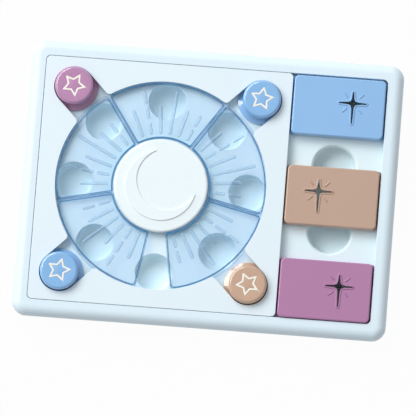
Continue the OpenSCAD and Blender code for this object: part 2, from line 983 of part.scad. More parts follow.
// Lid: hollow box with guide lips on both sides and a rimmed star hole in its top
module lid(k, hole_side) {
  translate([channel_x, lid_place(k), 0]) difference() {
    union() {
      translate([0, 0, lid_z]) linear_extrude(lid_top_z - lid_z) {
        rounded_rect(lid_w, lid_l, lid_r);
      }
      translate([0, 0, lid_z]) linear_extrude(lip_top_z - lid_z) {
        rounded_rect(lid_w + 2 * lip_w, lid_l, lid_r);
      }
      translate([hole_side * spark_x, spark_y, lid_top_z - joint]) {
        linear_extrude(spark_rim_h + joint) spark(spark_rim_w);
      }
    }
    translate([0, 0, lid_z - over]) linear_extrude(lid_top_z - lid_z - lid_wall + over) {
      rounded_rect(lid_w - 2 * lid_wall, lid_l - 2 * lid_wall, lid_r - lid_wall / 2);
    }
    translate([hole_side * spark_x, spark_y, lid_z]) linear_extrude(lid_top_z) spark(0);
  }
}

function lid_place(k) = (k - (lid_count - 1) / 2) * lid_step + lid_shifts[k];

module lid_back() {
  color(star_blue) lid(2, 1);
}

module lid_middle() {
  color(star_tan) lid(1, -1);
}

module lid_front() {
  color(star_purple) lid(0, 1);
}

module rubber_pads() {
  color(rubber_grey) for (x = [-1, 1], y = [-1, 1]) {
    translate([x * (tray_w / 2 - pad_inset), y * (tray_d / 2 - pad_inset), 0]) {
      cylinder(r = pad_r, h = pad_h);
    }
  }
}

tray_rim();
ring_floor();
ring_wells();
channel_floor();
lid_wells();
top_panel();
panel_screws();
moon_cap();
cap_screws();
ray_cover_middle();
ray_cover_right();
ray_cover_right_end();
ray_cover_left();
ray_cover_left_end();
star_slider_back_left();
star_slider_back_right();
star_slider_front_left();
star_slider_front_right();
star_inlay_back_left();
star_inlay_back_right();
star_inlay_front_left();
star_inlay_front_right();
lid_back();
lid_middle();
lid_front();
rubber_pads();
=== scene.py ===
import bpy, bmesh, math
from mathutils import Matrix, Vector


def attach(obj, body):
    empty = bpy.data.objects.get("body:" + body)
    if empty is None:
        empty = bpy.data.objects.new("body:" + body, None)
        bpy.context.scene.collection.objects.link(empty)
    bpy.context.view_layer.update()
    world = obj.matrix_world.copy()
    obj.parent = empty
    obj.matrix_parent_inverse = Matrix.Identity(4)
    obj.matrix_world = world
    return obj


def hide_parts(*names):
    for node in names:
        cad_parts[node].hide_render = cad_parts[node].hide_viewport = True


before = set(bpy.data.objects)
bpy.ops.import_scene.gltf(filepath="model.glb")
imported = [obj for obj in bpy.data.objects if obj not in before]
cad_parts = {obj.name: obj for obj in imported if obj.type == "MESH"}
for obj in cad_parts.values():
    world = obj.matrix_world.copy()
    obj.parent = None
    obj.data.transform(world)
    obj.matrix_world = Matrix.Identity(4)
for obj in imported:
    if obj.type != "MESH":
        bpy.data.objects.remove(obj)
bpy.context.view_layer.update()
mm = 0.001
ringX = -41.1  # middle of the cover ring, mm
channelX = 105.8  # middle of the lid channel, mm
coverStep = 68.3  # turn from one ring cover to the next, degrees
weld = 1e-6  # points closer than this are one, m
print("frame loaded:", len(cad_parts), "nodes")


# a socket that can be used in sums: each sum adds its Math node to the tree
class Wire:
    def __init__(self, net, socket):
        self.net, self.socket = net, socket

    def __getitem__(self, name):
        return Wire(self.net, self.socket.node.outputs[name])

    def maths(self, kind, *values):
        return self.net.add("ShaderNodeMath", {"operation": kind}, dict(enumerate(values)))

    def __add__(self, other): return self.maths("ADD", self, other)
    def __radd__(self, other): return self.maths("ADD", other, self)
    def __sub__(self, other): return self.maths("SUBTRACT", self, other)
    def __rsub__(self, other): return self.maths("SUBTRACT", other, self)
    def __mul__(self, other): return self.maths("MULTIPLY", self, other)
    def __rmul__(self, other): return self.maths("MULTIPLY", other, self)
    def __truediv__(self, other): return self.maths("DIVIDE", self, other)
    def __lt__(self, other): return self.maths("LESS_THAN", self, other)
    def __gt__(self, other): return self.maths("GREATER_THAN", self, other)
    def __neg__(self): return self.maths("MULTIPLY", self, -1.0)
    def sin(self): return self.maths("SINE", self)
    def cos(self): return self.maths("COSINE", self)
    def root(self): return self.maths("SQRT", self)
    def floor(self): return self.maths("FLOOR", self)
    def size(self): return self.maths("ABSOLUTE", self)
    def same(self, other): return self.maths("COMPARE", self, other, 0.1)
    def turnOf(self, other): return self.maths("ARCTAN2", self, other)
    def least(self, other): return self.maths("MINIMUM", self, other)


# one node tree, for a finish or for a shape
class Net:
    def __init__(self, tree):
        self.tree = tree

    def add(self, kind, settings=None, sockets=None, out=0):
        node = self.tree.nodes.new(kind)
        for name, value in (settings or {}).items():
            setattr(node, name, value)
        for key, value in (sockets or {}).items():
            for one in value if isinstance(value, list) else [value]:
                if isinstance(one, Wire):
                    self.tree.links.new(one.socket, node.inputs[key])
                else:
                    node.inputs[key].default_value = one
        return Wire(self, node.outputs[out]) if node.outputs else node

    def blendColour(self, share, low, high):
        return self.add("ShaderNodeMix", {"data_type": "RGBA"}, {0: share, 6: low, 7: high}, 2)


def srgb(red, green, blue):
    parts = [c / 255 for c in (red, green, blue)]
    return tuple(c / 12.92 if c <= 0.04045 else ((c + 0.055) / 1.055) ** 2.4 for c in parts) + (1,)


def scaled(colour, amount):
    return tuple(min(1, c * amount) for c in colour[:3]) + (1,)


def newFinish(name):
    finish = bpy.data.materials.new(name)
    finish.use_nodes = True
    finish.node_tree.nodes.clear()
    return finish, Net(finish.node_tree)


def noise(net, coords, scale, detail, **more):
    return net.add("ShaderNodeTexNoise", sockets={"Vector": coords, "Scale": scale, "Detail": detail, **more})


# moulded plastic: a cloudy tone, and a relief of fine spark-eroded grain over faint flow lines
plastic = {
    "cloud scale": 21, "grain scale": 1300, "flow scale": (9, 70, 30), "flow turn": (0, 0, 0.5),
    "flow height": 0.5, "relief": 0.0003, "grain share": 0.12, "grain tone": 0.93,
    "cloud gloss": 0.1, "grain gloss": 0.08, "ior": 1.5, "coat gloss": 0.06,
}


def mouldedPlastic(name, tone, gloss, cloud, grain=0.05, coat=0.0, coatIor=1.5):
    finish, net = newFinish(name)
    coords = net.add("ShaderNodeTexCoord", out=3)
    cloudy = noise(net, coords, plastic["cloud scale"], 3, Roughness=0.6)
    fine = noise(net, coords, plastic["grain scale"], 2)
    stretched = net.add("ShaderNodeMapping", sockets={
        "Vector": coords, "Scale": plastic["flow scale"], "Rotation": plastic["flow turn"]})
    flow = noise(net, stretched, 1, 2, Distortion=0.4)
    base = net.blendColour(cloudy, scaled(tone, 1 - cloud * 2), scaled(tone, 1 + cloud * 2))
    base = net.blendColour(fine * plastic["grain share"], base, scaled(tone, plastic["grain tone"]))
    rough = gloss + (cloudy - 0.5) * plastic["cloud gloss"] + (fine - 0.5) * plastic["grain gloss"]
    bump = net.add("ShaderNodeBump", sockets={
        "Height": fine + flow * plastic["flow height"], "Strength": grain, "Distance": plastic["relief"]})
    shader = net.add("ShaderNodeBsdfPrincipled", sockets={
        "Base Color": base, "Roughness": rough, "Normal": bump, "IOR": plastic["ior"],
        "Coat Weight": coat, "Coat Roughness": plastic["coat gloss"], "Coat IOR": coatIor})
    net.add("ShaderNodeOutputMaterial", sockets={"Surface": shader})
    return finish


finishes = {
    "tray": mouldedPlastic("trayPlastic", srgb(227, 243, 252), 0.42, 0.006),
    "floor": mouldedPlastic("floorPlastic", srgb(231, 249, 255), 0.45, 0.006),
    "panel": mouldedPlastic("panelPlastic", srgb(232, 245, 252), 0.34, 0.005),
    "cap": mouldedPlastic("capPlastic", srgb(242, 252, 255), 0.28, 0.004, coat=0.25),
    "starWhite": mouldedPlastic("starWhite", srgb(250, 246, 236), 0.35, 0.01),
    "pad": mouldedPlastic("padRubber", srgb(204, 209, 212), 0.8, 0.03, grain=0.3),
}
lidTones = {
    "lidBlue": (srgb(146, 192, 238), 0.012), "lidTan": (srgb(196, 164, 144), 0.015),
    "lidPurple": (srgb(182, 126, 169), 0.015),
}
for name, (tone, cloud) in lidTones.items():
    finishes[name] = mouldedPlastic(name, tone, 0.4, cloud, grain=0.08, coat=0.4, coatIor=1.7)
starTones = {
    "starBlue": srgb(137, 189, 238), "starTan": srgb(206, 169, 142), "starPurple": srgb(190, 135, 178),
}
for name, tone in starTones.items():
    finishes[name] = mouldedPlastic(name, tone, 0.3, 0.015, coat=0.9, coatIor=1.8)


# clear tinted plastic: the tint grows with the depth looked through, and walls, seams and the raised
# rays gather it into blue lines, with a painted glow and painted highlights; radii and heights are in mm
coverTint = {
    "absorb": (0.195, 0.265, 0.46, 1), "density": 200, "gloss": 0.04, "fine gloss": 0.04, "ior": 1.42,
    "swirl scale": 60, "fine scale": 800, "relief": 0.0004, "relief share": 0.06,
    "dark swirl": (0.90, 0.925, 0.90, 1), "light swirl": (0.94, 0.955, 0.925, 1),
    "near": 43, "far": 60, "near tone": (0.92, 0.97, 0.93, 1), "ray tone": (0.62, 0.80, 0.86, 1),
    "edge": srgb(44, 118, 168), "wall": srgb(120, 180, 216), "crest": (0.84, 0.95, 1, 1),
    "glow": 0.25, "rim gloss": 0.25, "shade": (0.97, 0.985, 1, 1),
    "slant from": 0.2, "slant to": 0.6, "slant share": 0.8, "wall share": 0.6, "wall top": 22.4,
    "inner wall": 42.6, "inner blur": 0.3, "inner share": 0.75,
    "outer wall": 89.0, "outer blur": 0.2, "outer share": 0.8,
    "seam line": 1.6, "seam core": 0.25, "seam reach": 0.55, "seam share": 0.78,
    "ray low": 23.44, "ray mid": 23.8, "ray high": 24.04, "ray share": 0.75,
}


def smoothStep(net, value, start, end):
    return net.add("ShaderNodeMapRange", {"interpolation_type": "SMOOTHSTEP"}, {
        0: value, 1: start, 2: end, 3: 0.0, 4: 1.0})


def clearPlastic(name, tint):
    finish, net = newFinish(name)
    coords = net.add("ShaderNodeTexCoord", out=3)
    swirl = noise(net, coords, tint["swirl scale"], 2)
    fine = noise(net, coords, tint["fine scale"], 1)
    parts = net.add("ShaderNodeSeparateXYZ", sockets={0: coords})
    x, y, z = (parts[axis] / mm for axis in "XYZ")
    radius = ((x - ringX) * (x - ringX) + y * y).root()
    step = math.radians(coverStep)
    turn = net.add("ShaderNodeMath", {"operation": "WRAP"}, {
        0: y.turnOf(x - ringX) - math.pi / 2, 1: math.pi, 2: -math.pi}) / step + 0.5
    fromSeam = radius * (step / 2 - (turn - turn.floor() - 0.5).size() * step).sin()
    bump = net.add("ShaderNodeBump", sockets={
        "Height": swirl, "Strength": tint["relief share"], "Distance": tint["relief"]})
    base = net.blendColour(swirl, tint["dark swirl"], tint["light swirl"])
    base = net.blendColour(smoothStep(net, radius, tint["far"], tint["near"]), base, tint["near tone"])
    base = net.blendColour(z > tint["ray high"], base, tint["ray tone"])
    glass = net.add("ShaderNodeBsdfPrincipled", sockets={
        "Base Color": base, "Roughness": tint["gloss"] + fine * tint["fine gloss"], "Normal": bump,
        "IOR": tint["ior"], "Transmission Weight": 1.0})
    # the edge blue is thick plastic seen edge-on; on the lower sides of the rays it also paints their shade
    ray, high = (z > tint["ray low"]) * (z < tint["ray high"]), z > tint["wall top"]
    # the tops of the rays take a painted highlight in place of the edge blue
    line = net.blendColour(ray * (z > tint["ray mid"]), tint["edge"], tint["crest"])
    # below the wall top the walls take a lighter blue, painted light for what the plastic lets into the seams
    line = net.blendColour(high, tint["wall"], line)
    # the rim's emission is a painted glow: its blue lines shine without a lamp
    rim = net.add("ShaderNodeBsdfPrincipled", sockets={
        "Base Color": line, "Emission Color": line, "Emission Strength": tint["glow"],
        "Roughness": tint["rim gloss"]})
    slant = net.add("ShaderNodeLayerWeight", sockets={"Blend": 0.5}, out=1)
    share = smoothStep(net, slant, tint["slant from"], tint["slant to"]) * (
        tint["wall share"] + high * (tint["slant share"] - tint["wall share"]))
    inner, innerBlur, outer, outerBlur = (
        tint[key] for key in ("inner wall", "inner blur", "outer wall", "outer blur"))
    # blue lines drawn at the inner and outer walls, along the seams and on the rays, with the rim's painted
    # glow
    lines = {
        "inner share": smoothStep(net, radius, inner + innerBlur, inner - innerBlur) * high,
        "outer share": smoothStep(net, radius, outer - outerBlur, outer + outerBlur) * high,
        "seam share": smoothStep(
            net, (fromSeam - tint["seam line"]).size(), tint["seam reach"], tint["seam core"]) * high,
        "ray share": ray,
    }
    for key, where in lines.items():
        share = share.maths("MAXIMUM", share, where * tint[key])
    body = net.add("ShaderNodeMixShader", sockets={0: share, 1: glass, 2: rim})
    clear = net.add("ShaderNodeBsdfTransparent", sockets={"Color": tint["shade"]})
    lampRay = net.add("ShaderNodeLightPath")["Is Shadow Ray"]
    both = net.add("ShaderNodeMixShader", sockets={0: lampRay, 1: body, 2: clear})
    inside = net.add("ShaderNodeVolumeAbsorption", sockets={
        "Color": tint["absorb"], "Density": tint["density"]})
    net.add("ShaderNodeOutputMaterial", sockets={"Surface": both, "Volume": inside})
    return finish


finishes["cover"] = clearPlastic("coverPlastic", coverTint)


# zinc-plated steel with fine lines and duller patches
steel = {
    "line scale": 2200, "patch scale": 300, "dark": srgb(178, 181, 186), "light": srgb(214, 216, 219),
    "relief": 0.0001, "relief share": 0.15, "gloss": 0.26, "line gloss": 0.2,
}


def platedSteel(name):
    finish, net = newFinish(name)
    coords = net.add("ShaderNodeTexCoord", out=3)
    lines = noise(net, coords, steel["line scale"], 2)
    patch = noise(net, coords, steel["patch scale"], 1)
    base = net.blendColour(patch, steel["dark"], steel["light"])
    bump = net.add("ShaderNodeBump", sockets={
        "Height": lines, "Strength": steel["relief share"], "Distance": steel["relief"]})
    shader = net.add("ShaderNodeBsdfPrincipled", sockets={
        "Base Color": base, "Metallic": 1.0, "Roughness": steel["gloss"] + lines * steel["line gloss"],
        "Normal": bump})
    net.add("ShaderNodeOutputMaterial", sockets={"Surface": shader})
    return finish


finishes["steel"] = platedSteel("platedSteel")
print("finishes mixed:", len(finishes))


def shown(name, mesh):
    piece = bpy.data.objects.new(name, mesh)
    bpy.context.collection.objects.link(piece)
    return piece


# what counts as flat, lying, level and at a height: degrees, share of the normal, mm
limits = {"flat": 1, "corner": 35, "lying": 0.99, "level": 0.02, "at": 0.05}


def faceTurn(edge):
    return math.degrees(edge.calc_face_angle(0)) if len(edge.link_faces) == 2 else 0


def height(edge):
    return (edge.verts[0].co.z + edge.verts[1].co.z) / 2 / mm


def level(edge):
    return abs(edge.verts[0].co.z - edge.verts[1].co.z) < limits["level"] * mm


def levelAt(edge, z):
    return level(edge) and abs(height(edge) - z) < limits["at"]


def lies(face):
    return abs(face.normal.z) > limits["lying"]


# merges the loose triangles: the upright walls become whole faces, the flats stay triangles
def cleanForm(form):
    bmesh.ops.remove_doubles(form, verts=form.verts[:], dist=2 * weld)
    bmesh.ops.triangulate(form, faces=form.faces[:])
    walls = [
        e for e in form.edges
        if faceTurn(e) < limits["flat"] and not any(lies(f) for f in e.link_faces)]
    bmesh.ops.dissolve_edges(form, edges=walls, use_verts=False, use_face_split=False)


# lays a narrow strip along the borders of the flats that the edges belong to, for an even rounding
def rimStrip(form, edges, width):
    flats = dict.fromkeys(f for e in edges for f in e.link_faces if lies(f))  # keeps its order
    waiting = list(flats)
    while waiting:
        for edge in waiting.pop().edges:
            for face in edge.link_faces:
                if face not in flats and faceTurn(edge) < limits["flat"]:
                    flats[face] = None
                    waiting.append(face)
    bmesh.ops.inset_region(
        form, faces=list(flats), thickness=width * mm, use_even_offset=True, use_boundary=True)


stripShare = 1.25  # width of the strip against the width of the rounding


# rounds the chosen edges of a form: cuts is a list of (width in mm, steps, which edges)
def roundEdges(form, cuts):
    for width, steps, which in cuts:
        edges = [e for e in form.edges if faceTurn(e) > limits["corner"] and which(e)]
        rimStrip(form, edges, width * stripShare)
        bmesh.ops.bevel(
            form, geom=edges, offset=width * mm, offset_type="OFFSET", segments=steps,
            profile=0.5, affect="EDGES", clamp_overlap=False)


sharpFrom = 50  # edges that turn by more degrees stay sharp


# smooth shading that leaves the flats flat
def smoothed(piece):
    mesh = piece.data
    mesh.shade_smooth()
    mesh.set_sharp_from_angle(angle=math.radians(sharpFrom))
    modifier = piece.modifiers.new("flats", "WEIGHTED_NORMAL")
    modifier.keep_sharp = True
    graph = bpy.context.evaluated_depsgraph_get()
    made = bpy.data.meshes.new_from_object(piece.evaluated_get(graph), depsgraph=graph)
    made.name = piece.name
    piece.modifiers.remove(modifier)
    piece.data = made
    return piece


def place(piece, body, slot, *nodes):
    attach(piece, body)
    if nodes:
        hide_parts(*nodes)


# a moulding with its edges rounded, made over the CAD solid it stands for
def moulded(name, node, finish, cuts, body="tray", slot="tray"):
    form = bmesh.new()
    form.from_mesh(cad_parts[node].data)
    cleanForm(form)
    roundEdges(form, cuts)
    mesh = bpy.data.meshes.new(name)
    form.to_mesh(mesh)
    form.free()
    mesh.materials.append(finishes[finish])
    place(smoothed(shown(name, mesh)), body, slot, node)


def newShape(name, inputs):
    tree = bpy.data.node_groups.new(name, "GeometryNodeTree")
    kinds = {float: "NodeSocketFloat", int: "NodeSocketInt", "vector": "NodeSocketVector",
             "object": "NodeSocketObject", "finish": "NodeSocketMaterial"}
    for title, kind in inputs.items():
        tree.interface.new_socket(title, in_out="INPUT", socket_type=kinds[kind])
    tree.interface.new_socket("Shape", in_out="OUTPUT", socket_type="NodeSocketGeometry")
    net = Net(tree)
    return net, net.add("NodeGroupInput")


def closeShape(net, shape, finish):
    whole = net.add("GeometryNodeRealizeInstances", sockets={0: shape})
    made = net.add("GeometryNodeSetMaterial", sockets={"Geometry": whole, "Material": finish})
    net.add("NodeGroupOutput", sockets={"Shape": made})
    return net.tree


# runs a shape tree and keeps its result as a plain mesh
def grown(name, tree, values):
    piece = shown(name, bpy.data.meshes.new(name + "Start"))
    modifier = piece.modifiers.new("shape", "NODES")
    modifier.node_group = tree
    for item in tree.interface.items_tree:
        if item.in_out == "INPUT" and item.name in values:
            modifier[item.identifier] = values[item.name]
    graph = bpy.context.evaluated_depsgraph_get()
    made = bpy.data.meshes.new_from_object(piece.evaluated_get(graph), depsgraph=graph)
    made.name = name
    made.materials.clear()
    made.materials.append(values["Finish"])
    made.polygons.foreach_set("material_index", [0] * len(made.polygons))
    piece.modifiers.remove(modifier)
    piece.data = made
    return piece


def reworked(piece, cuts):
    form = bmesh.new()
    form.from_mesh(piece.data)
    cleanForm(form)
    roundEdges(form, cuts)
    form.to_mesh(piece.data)
    form.free()
    return smoothed(piece)


def vector(net, x, y, z):
    return net.add("ShaderNodeCombineXYZ", sockets={0: x, 1: y, 2: z})


def moved(net, shape, shift, turn=(0, 0, 0)):
    return net.add("GeometryNodeTransform", sockets={
        "Geometry": shape, "Translation": shift, "Rotation": turn})


# closed block between two heights over a flat face
def block(net, face, low, high):
    base = moved(net, face, vector(net, 0, 0, low))
    top = net.add("GeometryNodeExtrudeMesh", {"mode": "FACES"}, {
        "Mesh": base, "Offset": vector(net, 0, 0, high - low), "Offset Scale": 1, "Individual": False})
    under = net.add("GeometryNodeFlipFaces", sockets={"Mesh": base})
    both = net.add("GeometryNodeJoinGeometry", sockets={0: [top, under]})
    return net.add("GeometryNodeMergeByDistance", sockets={"Geometry": both, "Distance": weld})


slack = 0.001  # added before a share is cut to a whole number, in case it lies a hair under it
arcSteps = 16  # points on each arc of a sector


# flat sector of a ring, symmetrical about +Y, with round corners: four arcs for a half, mirrored
def sector(net, inner, outer, half, inset, roundOut, roundIn):
    steps = arcSteps
    index = net.add("GeometryNodeInputIndex")
    line = net.add("GeometryNodeMeshLine", {"mode": "OFFSET"}, {"Count": 8 * steps})
    near = index.least(8 * steps - 1 - index)
    arc = (near / steps + slack).floor()
    along = (near - arc * steps) / (steps - 1)
    vOut, vIn = inset + roundOut, inset + roundIn
    uOut = ((outer - roundOut) * (outer - roundOut) - vOut * vOut).root()
    uIn = ((inner + roundIn) * (inner + roundIn) - vIn * vIn).root()
    outX, outY = uOut * half.sin() - vOut * half.cos(), uOut * half.cos() + vOut * half.sin()
    inX, inY = uIn * half.sin() - vIn * half.cos(), uIn * half.cos() + vIn * half.sin()
    outTurn, inTurn = outX.turnOf(outY), inX.turnOf(inY)
    first, second, third, fourth = (arc.same(k) for k in range(4))
    side = half + math.pi / 2
    radius = first * outer + second * roundOut + third * roundIn + fourth * inner
    start = second * outTurn + third * side + fourth * inTurn
    end = first * outTurn + second * side + third * (inTurn + math.pi)
    turn = start + (end - start) * along
    x = second * outX + third * inX + radius * turn.sin()
    y = second * outY + third * inY + radius * turn.cos()
    mirror = 1 - 2 * (index > 4 * steps - 0.5)
    shaped = net.add("GeometryNodeSetPosition", sockets={
        "Geometry": line, "Position": vector(net, x * mirror, y, 0)})
    joined = net.add("GeometryNodeMergeByDistance", sockets={"Geometry": shaped, "Distance": weld})
    curve = net.add("GeometryNodeMeshToCurve", sockets={"Mesh": joined})
    return net.add("GeometryNodeFillCurve", {"mode": "NGONS"}, {0: curve})


endShare = 0.49  # a bar's ends stop just short of half round, as parts of its width


# bar with round ends that runs out along +Y from a start radius
def bar(net, width, length, start):
    outline = net.add("GeometryNodeCurvePrimitiveQuadrilateral", {"mode": "RECTANGLE"}, {
        "Width": width, "Height": length})
    ends = net.add("GeometryNodeFilletCurve", {"mode": "POLY"}, {
        "Curve": outline, "Count": 6, "Radius": width * endShare})
    face = net.add("GeometryNodeFillCurve", {"mode": "NGONS"}, {0: ends})
    return moved(net, face, vector(net, 0, start + length / 2, 0))


def boolean(net, how, first, others):
    sockets = {"Mesh 2": [first] + others} if how == "UNION" else {"Mesh 1": first, "Mesh 2": others}
    return net.add("GeometryNodeMeshBoolean", {"operation": how, "solver": "EXACT"}, sockets)


# the ring covers: a box on a flange, with a fan of raised rays; mm and degrees
cover = {
    "Inner radius": 41.3, "Outer radius": 89.8, "Flange inner": 33.6, "Flange outer": 92.3,
    "Wall": 1.4, "Seam": 0.3, "Bottom": 19.15, "Flange top": 20.65, "Top": 23.4,
    "Corner": 4.0, "Inner corner": 2.5, "Ray width": 2.6, "Ray height": 0.7, "Ray sink": 0.4,
    "Ray start": 45.0, "Dash": 10.467, "Pitch": 13.867, "Cut": 1.0,
}
coverTurns = {"Half angle": coverStep / 2, "Ray angle": 9.88, "Ray turn": 0.6}
coverNumbers = {"middle": 0, "right": 1, "right_end": 2, "left": -1, "left_end": -2}
rayCount, longRay, dashedRay, brokenRay = 6, 3, 1, 5  # how many, and which of them differ


def coverShape():
    inputs = {title: float for title in list(cover) + list(coverTurns) + ["Turn"]}
    inputs.update({"Middle": "vector", "Finish": "finish"})
    net, given = newShape("coverShape", inputs)
    inner, outer, wall, seam = given["Inner radius"], given["Outer radius"], given["Wall"], given["Seam"]
    low, top, half = given["Bottom"], given["Top"], given["Half angle"]
    corner, innerCorner = given["Corner"], given["Inner corner"]
    flange = sector(net, given["Flange inner"], given["Flange outer"], half, seam, corner, innerCorner)
    box = sector(net, inner, outer, half, seam, corner, innerCorner)
    hollow = sector(
        net, inner + wall, outer - wall, half, seam + wall, corner - wall * 0.5, innerCorner - wall * 0.5)
    body = boolean(net, "UNION", block(net, flange, low, given["Flange top"]), [block(net, box, low, top)])
    body = boolean(net, "DIFFERENCE", body, [block(net, hollow, low - given["Cut"], top - wall)])
    width, start, dash, pitch = given["Ray width"], given["Ray start"], given["Dash"], given["Pitch"]
    index = net.add("GeometryNodeInputIndex")
    dashes = [bar(net, width, dash, start + pitch * k) for k in range(3)]
    isLong, isDashed, isBroken = (index.same(k) for k in (longRay, dashedRay, brokenRay))
    kinds = [
        (bar(net, width, pitch + dash, start), 1 - isLong - isDashed - isBroken),
        (bar(net, width, pitch * 2 + dash, start), isLong),
        (net.add("GeometryNodeJoinGeometry", sockets={0: dashes}), isDashed),
        (net.add("GeometryNodeJoinGeometry", sockets={0: dashes[:2]}), isBroken),
    ]
    points = net.add("GeometryNodePoints", sockets={"Count": rayCount})
    fan = vector(net, 0, 0, ((rayCount - 1) / 2 - index) * given["Ray angle"] - given["Ray turn"])
    rays = []
    for unit, which in kinds:
        solid = block(net, unit, top - given["Ray sink"], top + given["Ray height"])
        rays.append(net.add("GeometryNodeInstanceOnPoints", sockets={
            "Points": points, "Selection": which, "Instance": solid, "Rotation": fan}))
    fanned = net.add("GeometryNodeRealizeInstances", sockets={0: net.add(
        "GeometryNodeJoinGeometry", sockets={0: rays})})
    whole = moved(
        net, boolean(net, "UNION", body, [fanned]), given["Middle"], vector(net, 0, 0, -given["Turn"]))
    return closeShape(net, whole, given["Finish"])


coverTree = coverShape()
coverEdges = [
    (0.6, 3, lambda e: levelAt(e, cover["Top"]) and e.is_convex),  # rim of the top
    (0.6, 1, lambda e: levelAt(e, cover["Top"] + cover["Ray height"])),  # sloping sides of the rays
]
for part, number in coverNumbers.items():
    values = {title: size * mm for title, size in cover.items()}
    values.update({title: math.radians(size) for title, size in coverTurns.items()})
    values.update({
        "Turn": math.radians(coverStep * number), "Middle": (ringX * mm, 0, 0), "Finish": finishes["cover"]})
    piece = reworked(grown("rayCover_" + part, coverTree, values), coverEdges)
    place(piece, "cover_" + part, "cover", "ray_cover_" + part)
print("covers grown")


# tray moulding, floors, panel and cap: heights of the edges that are rounded, mm
levels = {"foot": 2, "floor": 16.95, "deck": 24, "crescent": 25}
channel = {"half width": 22, "half length": 106}  # part of the channel floor with the well mouths


def wellMouth(edge):
    near = all(
        abs(v.co.x / mm - channelX) < channel["half width"] and abs(v.co.y) < channel["half length"] * mm
        for v in edge.verts)
    return near and edge.is_convex and levelAt(edge, levels["floor"])


moulded("trayShell", "tray_rim", "tray", [
    (0.4, 3, lambda e: levelAt(e, levels["deck"])),
    (0.5, 2, lambda e: level(e) and height(e) < levels["foot"]),
])
moulded("ringFloor", "ring_floor", "floor", [(0.7, 3, lambda e: levelAt(e, levels["floor"]))])
moulded("channelFloor", "channel_floor", "floor", [(0.5, 3, wellMouth)])
moulded("topPanel", "top_panel", "panel", [(0.35, 3, lambda e: levelAt(e, levels["deck"]))], slot="panel")
moulded("moonCap", "moon_cap", "cap", [
    (0.25, 3, lambda e: level(e) and height(e) > levels["crescent"])], slot="cap")
print("tray, floors, panel and cap moulded")


# star sliders with their star lines, and the three lids
sliderColours = {"back_left": "Purple", "back_right": "Blue", "front_left": "Blue", "front_right": "Tan"}
sliderLevels = {"plate": 22.6, "line": 30}
sliderEdges = [(0.5, 3, lambda e: levelAt(e, sliderLevels["plate"]))]
lineEdges = [(0.22, 2, lambda e: level(e) and height(e) > sliderLevels["line"])]
for part, colour in sliderColours.items():
    body, slot = "slider_" + part, "star_" + colour.lower()
    moulded("starSlider_" + part, "star_slider_" + part, "star" + colour, sliderEdges, body, slot)
    moulded("starLine_" + part, "star_inlay_" + part, "starWhite", lineEdges, body, "star_white")


def outsideOf(edge, floorHeight):
    return any(not lies(f) and min(v.co.z for v in f.verts) > floorHeight * mm for f in edge.link_faces)


# each lid's colour and the middle of its star hole, and the heights of its edges
lids = {
    "back": ("Blue", (117.6, 83.3)), "middle": ("Tan", (94.0, 4.8)), "front": ("Purple", (117.6, -76.3)),
}
lidLevels = {"under top": 25.9, "top": 26, "hole rim": 26.5}
lidEdges = [
    (1.1, 4, lambda e: levelAt(e, lidLevels["top"]) and e.is_convex),
    (0.45, 3, lambda e: levelAt(e, lidLevels["hole rim"]) and outsideOf(e, lidLevels["under top"])),
    (0.12, 1, lambda e: levelAt(e, lidLevels["hole rim"])),  # crisp inner edge of the hole
]
for part, (colour, _) in lids.items():
    slot = "star_" + colour.lower()
    moulded("lid_" + part + "_shell", "lid_" + part, "lid" + colour, lidEdges, "lid_" + part, slot)
print("sliders and lids moulded")


# four raised strokes that shine out between the rays of a lid's star hole, long and short in turn
strokes = {
    "Width": 1.2, "Long": 5.6, "Short": 4.5, "Long start": 6.5, "Short start": 7.1,
    "Low": 25.6, "High": 26.6,
}
strokeCount, strokeTurn = 4, -47.5


def strokesShape():
    inputs = {title: float for title in list(strokes) + ["Turn"]}
    inputs.update({"Count": int, "Middle": "vector", "Finish": "finish"})
    net, given = newShape("strokesShape", inputs)
    index = net.add("GeometryNodeInputIndex")
    odd = index.maths("MODULO", index, 2)
    points = net.add("GeometryNodePoints", sockets={"Count": given["Count"]})
    turn = vector(net, 0, 0, given["Turn"] + index * (2 * math.pi) / given["Count"])
    kinds = []
    for kind, which in (("Long", 1 - odd), ("Short", odd)):
        face = bar(net, given["Width"], given[kind], given[kind + " start"])
        solid = block(net, face, given["Low"], given["High"])
        kinds.append(net.add("GeometryNodeInstanceOnPoints", sockets={
            "Points": points, "Selection": which, "Instance": solid, "Rotation": turn}))
    both = net.add("GeometryNodeJoinGeometry", sockets={0: kinds})
    return closeShape(net, moved(net, both, given["Middle"]), given["Finish"])


strokesTree = strokesShape()
strokeEdges = [(0.5, 3, lambda e: levelAt(e, strokes["High"]))]
for part, (colour, middle) in lids.items():
    values = {title: size * mm for title, size in strokes.items()}
    values.update({
        "Turn": math.radians(strokeTurn), "Count": strokeCount,
        "Middle": (middle[0] * mm, middle[1] * mm, 0), "Finish": finishes["lid" + colour]})
    piece = reworked(grown("lid_" + part + "_strokes", strokesTree, values), strokeEdges)
    place(piece, "lid_" + part, "star_" + colour.lower())
print("strokes grown")


# a turned form from a profile of (radius, height) points, closed at the axis
def turned(name, profile, steps):
    form = bmesh.new()
    turns = [2 * math.pi * k / steps for k in range(steps)]
    rings = []
    for radius, z in profile:
        if radius == 0:
            rings.append([form.verts.new((0, 0, z * mm))] * steps)
        else:
            spots = [(radius * mm * math.cos(t), radius * mm * math.sin(t), z * mm) for t in turns]
            rings.append([form.verts.new(spot) for spot in spots])
    for low, high in zip(rings, rings[1:]):
        for k in range(steps):
            corners = []
            for vert in (low[k], low[(k + 1) % steps], high[(k + 1) % steps], high[k]):
                if vert not in corners:
                    corners.append(vert)
            if len(corners) > 2:
                form.faces.new(corners)
    bmesh.ops.recalc_face_normals(form, faces=form.faces)
    mesh = bpy.data.meshes.new(name)
    form.to_mesh(mesh)
    form.free()
    return shown(name, mesh)


def arcPoints(centre, radius, start, end, steps):
    turns = [math.radians(start + (end - start) * k / steps) for k in range(steps + 1)]
    return [(centre[0] + radius * math.cos(t), centre[1] + radius * math.sin(t)) for t in turns]


